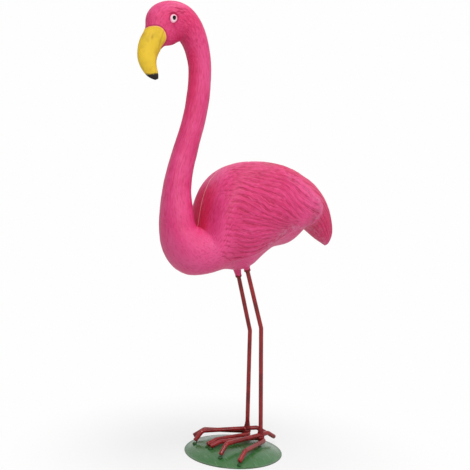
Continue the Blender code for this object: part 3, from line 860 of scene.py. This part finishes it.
def bird_material():
    """Pink moulded plastic, a painted yellow beak with a black tip, and painted eyes, with painted shade in the
    grooves, creases and tail and painted highlights on the crests and seam.
    """
    nodes = Nodes("bird_plastic_paint")
    times, times_add, span, mask = nodes.times, nodes.times_add, nodes.span, nodes.attribute
    place, cloud, fine, colour = pink_plastic(nodes)
    skin = mask("skin_flow", "Vector")
    wing = mask("wing_flow", "Vector")
    names = ("cover", "trunk", "tail", "pitch", "painted_shade", "eye", "beak")
    cover, trunk, tail, pitch, painted_shade, eye, beak = (mask(name) for name in names)

    # Brushed strokes that follow the neck, the body and the wing's feathers
    neck_strokes = nodes.noise(skin, (125, 330, 40), 3, 0.6, 0.3)
    body_strokes = nodes.noise(skin, (170, 800, 40), 3, 0.6, 0.4)
    wing_strokes = nodes.noise(wing, (75, 330, 40), 3, 0.6, 0.5)
    stroke = nodes.mix(cover, nodes.mix(trunk, neck_strokes, body_strokes), wing_strokes)
    dark_stroke = span(stroke, 0.48, 0.38)
    light_stroke = span(stroke, 0.53, 0.66)

    # Dark lines of painted shade between the long feathers, finer ones halfway, and those along the tail
    wobble = times_add(nodes.noise(place, 70, 2, 0.5), 0.32, mask("rows"))
    breaks = span(nodes.noise(wing, (36, 60, 40), 1, 0.5), 0.34, 0.56)
    main_line = span(times(nodes.math("PINGPONG", wobble, 0.5), pitch), 0.42, 0.10)
    main_line = times(main_line, times_add(breaks, 0.6, 0.4))
    fades = span(nodes.noise(wing, (22, 90, 40), 1, 0.5), 0.36, 0.56)
    halfway = nodes.math("PINGPONG", times_add(wobble, 2, 0.5), 0.5)
    fine_line = times(span(times(halfway, pitch), 0.44, 0.10), times(fades, 0.75))
    line = times(nodes.math("MAXIMUM", main_line, fine_line), mask("feathers"))
    girth = nodes.new("SeparateXYZ", {0: skin}, "Y")
    tail_rows = times_add(nodes.noise(place, 45, 2, 0.5), 0.8, times(girth, 165))
    tail_line = times(span(nodes.math("PINGPONG", tail_rows, 0.5), 0.32, 0.06), tail)
    line = nodes.math("MAXIMUM", line, times_add(tail_line, 0.55, times(tail, 0.12)))

    # Painted shade in the grooves, the lines and a speckled ring round the eye, added to the dark strokes
    ring = times(span(eye, 1.05, 1.15), span(eye, 1.6, 1.3))
    ring = times(ring, span(nodes.noise(place, 420, 3, 0.6), 0.48, 0.60))
    groove_shade = nodes.math("MAXIMUM", nodes.math("MAXIMUM", mask("groove_shade"), times(ring, 0.9)), line)
    dark_stroke = times(dark_stroke, times_add(cover, -0.06, 0.36))
    shade = nodes.math("ADD", times(groove_shade, 0.86), dark_stroke, clamp=True)

    # A painted highlight along the mould's flash line in the middle, strongest in front of the back
    across = nodes.new("SeparateXYZ", {0: place}, "X")
    from_seam = nodes.math("ABSOLUTE", nodes.math("SUBTRACT", across, BIRD_PLACE.x))
    seam_highlight = times(span(from_seam, 0.0013, 0.0005), times_add(mask("front"), 0.8, 0.12))
    flecks = times_add(span(nodes.noise(place, 120, 5, 0.7), 0.43, 0.60), 0.70, 0.05)

    # The beak's paint, with its rim, mouth and tip
    on_beak = span(beak, -0.0002, 0.0003)
    ragged = times_add(nodes.noise(place, 320, 3, 0.6), 0.004, -0.002)
    on_tip = span(nodes.math("ADD", mask("tip"), ragged), -0.0022, 0.0018)
    yellow = nodes.layers(
        YELLOW,
        (times(span(nodes.noise(place, 55, 4, 0.6), 0.45, 0.75), 0.6), DEEP_YELLOW),
        (times(span(beak, 0.0034, 0.0012), 0.65), BEAK_RIM),
        (times(mask("mouth"), 0.55), MOUTH_BROWN),
        (on_tip, TIP_BLACK),
    )
    on_pupil = span(mask("pupil"), 1.04, 0.96)
    colour = nodes.layers(
        colour,
        # Painted shade on the inner sides of the neck, under the chin and on the face
        (times(painted_shade, 0.75), SHADE_PINK),
        # Painted shade: the tail a deeper, more saturated crimson
        (times(tail, 0.6), TAIL_SHADE_PINK),
        (shade, DEEP_PINK),
        (times(light_stroke, 0.50), PALE_PINK),
        (times_add(trunk, -0.10, 0.10), DEEP_PINK),
        # Pale crests, partly wear and partly painted highlight
        (times(mask("wear_and_sheen"), flecks), WORN_SHEEN_PINK),
        # Painted highlight along the mould seam
        (seam_highlight, SEAM_HIGHLIGHT_PINK),
        (times(span(beak, -0.0035, -0.0006), 0.6), DEEP_PINK),
        (on_beak, yellow),
        (span(eye, 1.02, 0.94), nodes.mix(span(eye, 0.5, 1), EYE_WHITE, EYE_RIM)),
        (on_pupil, PUPIL_BLACK),
    )

    height = nodes.math("ADD", times(stroke, 0.8), times(fine, 0.2))
    height = nodes.math("SUBTRACT", height, times(line, 0.55))
    height = times(height, nodes.math("SUBTRACT", 1, times(on_beak, 0.8)))
    normal = nodes.bump(nodes.noise(place, 900, 2, 0.5), 0.00015, 0.5, nodes.bump(height, 0.0013, 0.7))
    rough = times_add(cloud, 0.22, 0.36)
    for share, rise in ((shade, 0.12), (on_pupil, 0.3), (painted_shade, 0.35)):
        rough = times_add(share, rise, rough)
    return nodes.finish(
        colour, rough, normal, Specular_IOR_Level=0.34, Subsurface_Weight=0.08,
        Subsurface_Radius=(1, 0.25, 0.35), Subsurface_Scale=0.004,
    )


def socket_material(name, mouth, direction):
    """The pink plastic of a socket, with red paint smeared up from its mouth."""
    nodes = Nodes(name)
    place, cloud, fine, colour = pink_plastic(nodes)
    reach = nodes.vector("DOT_PRODUCT", nodes.vector("SUBTRACT", place, mouth), direction)
    ragged = nodes.times_add(nodes.noise(place, 150, 3, 0.6), 0.006, reach)
    colour = nodes.mix(nodes.span(ragged, SMEAR_HEIGHT + 0.0015, SMEAR_HEIGHT), colour, RED)
    rough = nodes.times_add(cloud, 0.2, 0.3)
    return nodes.finish(colour, rough, nodes.bump(fine, 0.0006, 0.4), Specular_IOR_Level=0.3)


def red_material():
    """Dark red gloss paint on steel rod, darker in patches and a little chipped."""
    nodes = Nodes("dark_red_rod_paint")
    place = nodes.object_place()
    cloud = nodes.noise(place, 38, 4, 0.6)
    chips = nodes.span(nodes.noise(place, 210, 5, 0.7), 0.66, 0.70)
    colour = nodes.layers(
        nodes.mix(nodes.span(cloud, 0.35, 0.68), RED, LIGHT_RED),
        (nodes.times(nodes.span(cloud, 0.5, 0.3), 0.5), DARK_RED),
        (nodes.times(chips, 0.6), CHIP_BROWN),
    )
    height = nodes.math("ADD", cloud, nodes.times(nodes.noise(place, 420, 3, 0.6), 0.3))
    return nodes.finish(
        colour, nodes.times_add(cloud, 0.20, 0.14), nodes.bump(height, 0.0008, 0.5),
        Specular_IOR_Level=0.15, Coat_Weight=0.5, Coat_Roughness=0.10,
    )


def weld_material(name, dark, light):
    """Paint over rough weld."""
    nodes = Nodes(name)
    place = nodes.object_place()
    cloud = nodes.noise(place, 160, 4, 0.6)
    normal = nodes.bump(nodes.noise(place, 500, 4, 0.6), 0.0012, 0.6)
    colour = nodes.mix(nodes.span(cloud, 0.4, 0.65), dark, light)
    return nodes.finish(colour, nodes.times_add(cloud, 0.3, 0.3), normal, Specular_IOR_Level=0.2)


def green_material():
    """Green gloss paint on sheet metal: brushed on, with a pale painted reflection towards one side, and darker at the
    rim's edge.
    """
    nodes = Nodes("green_dish_paint")
    times, times_add = nodes.times, nodes.times_add
    place = nodes.object_place()
    middle = nodes.vector("SUBTRACT", place, DISH_MIDDLE)
    reach = nodes.vector("LENGTH", nodes.vector("MULTIPLY", middle, (1, 1, 0)))
    cloud = nodes.noise(place, 16, 4, 0.6)
    brush = nodes.noise(place, (60, 420, 60), 3, 0.6)
    # A pale painted reflection over one side of the dish
    reflection_patch = nodes.math("SUBTRACT", nodes.vector("DOT_PRODUCT", middle, REFLECTION_WAY), 0.05)
    reflection_patch = nodes.span(times_add(cloud, 0.10, reflection_patch), -0.035, 0.055)
    ragged = times_add(nodes.noise(place, 120, 4, 0.6), 0.003, reach)
    # Darker towards the rim's edge
    edge_band = nodes.span(ragged, DISH_RADIUS - 0.0005, DISH_RADIUS + 0.0012)
    spots = nodes.span(nodes.noise(place, 240, 4, 0.7), 0.68, 0.72)
    colour = nodes.layers(
        nodes.mix(nodes.span(cloud, 0.35, 0.7), GREEN, LIGHT_GREEN),
        (times(reflection_patch, 0.42), REFLECTION_GREEN),
        (times(nodes.span(brush, 0.52, 0.75), 0.35), BRUSHED_GREEN),
        (times(edge_band, 0.8), RIM_GREEN),
        (times(spots, 0.4), SPOT_GREEN),
    )
    normal = nodes.bump(nodes.math("ADD", brush, times(cloud, 2)), 0.0008, 0.35)
    return nodes.finish(colour, times_add(cloud, 0.20, 0.10), normal, Specular_IOR_Level=0.45)


def dress(obj, material, slot, *nodes):
    """Gives a piece its material and body, and hides the CAD nodes that it replaces. The slot is not used."""
    obj.data.materials.append(material)
    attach(obj, "root")
    if nodes:
        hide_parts(*nodes)


def planar_reach(place):
    """Distance from the dish's middle, seen from above."""
    return (place - DISH_MIDDLE).xy.length


def tip_height(place):
    """Height of a toe's middle line where its tip lies on the dish."""
    return dish_height(max(0, planar_reach(place) - 2 * ROD_RADIUS)) + ROD_RADIUS + GAP


def make_ankle(name, ankle, shin, side):
    """The weld where a leg meets its toes: a flare up the leg and a bead under it."""
    collar = lathe(f"{name}_ankle_flare", FLARE_PROFILE, 32, ankle + shin * ROD_RADIUS * 0.4, shin)
    for vert in collar.data.vertices:
        vert.co += (vert.co - ankle).normalized() * noise_at(vert.co, 240) * FLARE_SWELL
    dress(collar, red_weld, "leg_paint")
    bead = weld(f"{name}_ankle_weld", ankle + Vector((0, 0, -ROD_RADIUS)), ANKLE_BEAD, 3 * side)
    dress(bead, red_weld, "leg_paint")


def make_leg(name, side, socket_height, hock_height, back, turn, mouth_drop):
    """One leg: its socket, leg rod, two toe rods and welds."""
    socket = Vector((DISH_MIDDLE.x + side * SOCKET_SPACING / 2 + BIRD_ASIDE, BIRD_PLACE.y, socket_height))
    drop = socket_height - hock_height
    bend = socket + Vector((side * LEG_SPLAY, drop * math.tan(THIGH_LEAN), -drop))
    up_way = (socket - bend).normalized()
    mouth = socket - up_way * mouth_drop
    boss = lathe(f"{name}_socket", SOCKET_PROFILE, 40, mouth, up_way)
    dress(boss, socket_material(f"{name}_socket_paint", mouth, up_way), "bird_plastic")

    ankle = Vector((bend.x, DISH_MIDDLE.y + back, ANKLE_HEIGHT))
    foot = ankle + UP * ROD_RADIUS * 0.6
    make_rod(f"{name}_leg", [socket + up_way * ROD_REACH, bend, foot])

    forward = Vector((math.sin(turn), -math.cos(turn), 0))
    left = Vector((math.cos(turn), math.sin(turn), 0))
    middle_bend = ankle + forward * MIDDLE_TOE_LENGTH + UP * TOE_RISE
    middle_tip = middle_bend + forward * MIDDLE_TOE_TIP
    middle_tip.z = tip_height(middle_tip)
    hind_bend = ankle - forward * HIND_TOE_LENGTH
    hind_tip = hind_bend - forward * HIND_TOE_TIP - UP * HIND_TOE_DROP
    make_rod(f"{name}_middle_toe", [hind_tip, hind_bend, middle_bend, middle_tip])

    under = ankle - UP * (2 * ROD_RADIUS + GAP)
    toes = []
    for way in (-1, 1):
        toe_way = forward * math.cos(OUTER_TOE_SPREAD) + way * left * math.sin(OUTER_TOE_SPREAD)
        elbow = under + way * left * OUTER_TOE_SPACING / 2
        toe_bend = elbow + toe_way * OUTER_TOE_LENGTH + UP * TOE_RISE
        tip = toe_bend + toe_way * OUTER_TOE_TIP
        tip.z = max(toe_bend.z - OUTER_TOE_DROP, tip_height(tip))
        toes.append((elbow, toe_bend, tip))
    make_rod(f"{name}_outer_toes", [*toes[0][::-1], *toes[1]], OUTER_TOE_SPACING / 3)

    make_ankle(name, ankle, (bend - ankle).normalized(), side)
    for number, (spot, scale) in enumerate(((middle_tip, 1.0), (toes[0][2], 0.9), (toes[1][2], 0.9))):
        reach = planar_reach(spot)
        if reach > DISH_RADIUS - TACK_MARGIN:
            continue
        low = Vector((spot.x, spot.y, dish_height(reach) + TACK_LIFT))
        size = (TACK_RADIUS * scale, TACK_RADIUS * scale, TACK_HEIGHT)
        tack = weld(f"{name}_toe_weld_{number + 1}", low, size, 7 * number + side)
        dress(tack, green_weld, "dish_paint")


def make_floor():
    """A pale floor that fades into the backdrop away from the object."""
    size = 6.0
    mesh = bpy.data.meshes.new("studio_floor")
    mesh.from_pydata([(-size, -size, 0), (size, -size, 0), (size, size, 0), (-size, size, 0)], [], [(0, 1, 2, 3)])
    floor = link("studio_floor", mesh)
    nodes = Nodes("pale_studio_floor")
    cloud = nodes.noise(nodes.object_place(), 3.0, 3.0, 0.5)
    floor.data.materials.append(nodes.finish(nodes.mix(cloud, *FLOOR_GREYS), nodes.times_add(cloud, 0.1, 0.8)))
    reach = nodes.vector("LENGTH", nodes.object_place())
    share = nodes.times_add(nodes.span(reach, 0.12, 0.45), 0.36, 0.64)
    share = nodes.times(share, nodes.new("LightPath", {}, "Is Camera Ray"))
    shader = nodes.tree.nodes["Principled BSDF"].outputs[0]
    glow = nodes.new("Emission", {"Strength": BACKDROP})
    surface = nodes.new("MixShader", {0: share, 1: shader, 2: glow})
    nodes.put(nodes.tree.nodes["Material Output"].inputs["Surface"], surface)


def make_world():
    """Light that grows towards the zenith, a sheen for reflections and a white backdrop."""
    nodes = Nodes("pale_studio", bpy.data.worlds)
    bpy.context.scene.world = nodes.owner
    up = nodes.new("SeparateXYZ", {0: nodes.new("TexCoord", {}, "Generated")}, "Z")
    brightness = nodes.new("MapRange", {"Value": up, "From Max": 0.9, "To Min": 0.14, "To Max": 0.70}, "Result")
    glossy = nodes.new("LightPath", {}, "Is Glossy Ray")
    strength = nodes.new("Mix", {0: glossy, 2: brightness, 3: 0.9})
    soft = nodes.new("Background", {"Color": WHITE, "Strength": strength})
    backdrop = nodes.new("Background", {"Color": WHITE, "Strength": BACKDROP})
    seen = nodes.new("LightPath", {}, "Is Camera Ray")
    surface = nodes.new("MixShader", {0: seen, 1: soft, 2: backdrop})
    nodes.put(nodes.tree.nodes["World Output"].inputs["Surface"], surface)


def lamp(name, place, target, size, power):
    """A soft round lamp that the camera doesn't see."""
    light = bpy.data.lights.new(name, "AREA")
    light.shape = "DISK"
    light.size = size
    light.energy = power
    made = link(name, light)
    made.location = place
    made.rotation_euler = (Vector(target) - Vector(place)).to_track_quat("-Z", "Y").to_euler()
    made.visible_camera = False


def make_camera():
    """The photo's pinhole camera, rolled a little."""
    data = bpy.data.cameras.new("photo_camera")
    data.sensor_width = SENSOR_WIDTH
    data.lens = FOCAL_PIXELS / FRAME_PIXELS * SENSOR_WIDTH
    camera = link("photo_camera", data)
    turn = Matrix((CAMERA_RIGHT, UP, -CAMERA_VIEW)).transposed().to_4x4() @ Matrix.Rotation(CAMERA_ROLL, 4, "Z")
    camera.matrix_world = Matrix.Translation(CAMERA_PLACE) @ turn
    bpy.context.scene.camera = camera
    bpy.context.scene.view_settings.view_transform = "Standard"


dress(make_bird(), bird_material(), "bird_plastic", "bird_body")
red = red_material()
red_weld = weld_material("dark_red_weld_paint", (0.13, 0.006, 0.008), (0.25, 0.016, 0.018))
green_weld = weld_material("green_weld_paint", (0.016, 0.070, 0.018), (0.050, 0.110, 0.030))
for settings in LEGS:
    make_leg(*settings)
dress(make_dish(), green_material(), "dish_paint", "base_dish")
make_floor()
make_world()
for settings in LAMPS:
    lamp(*settings)
make_camera()

bpy.context.view_layer.update()
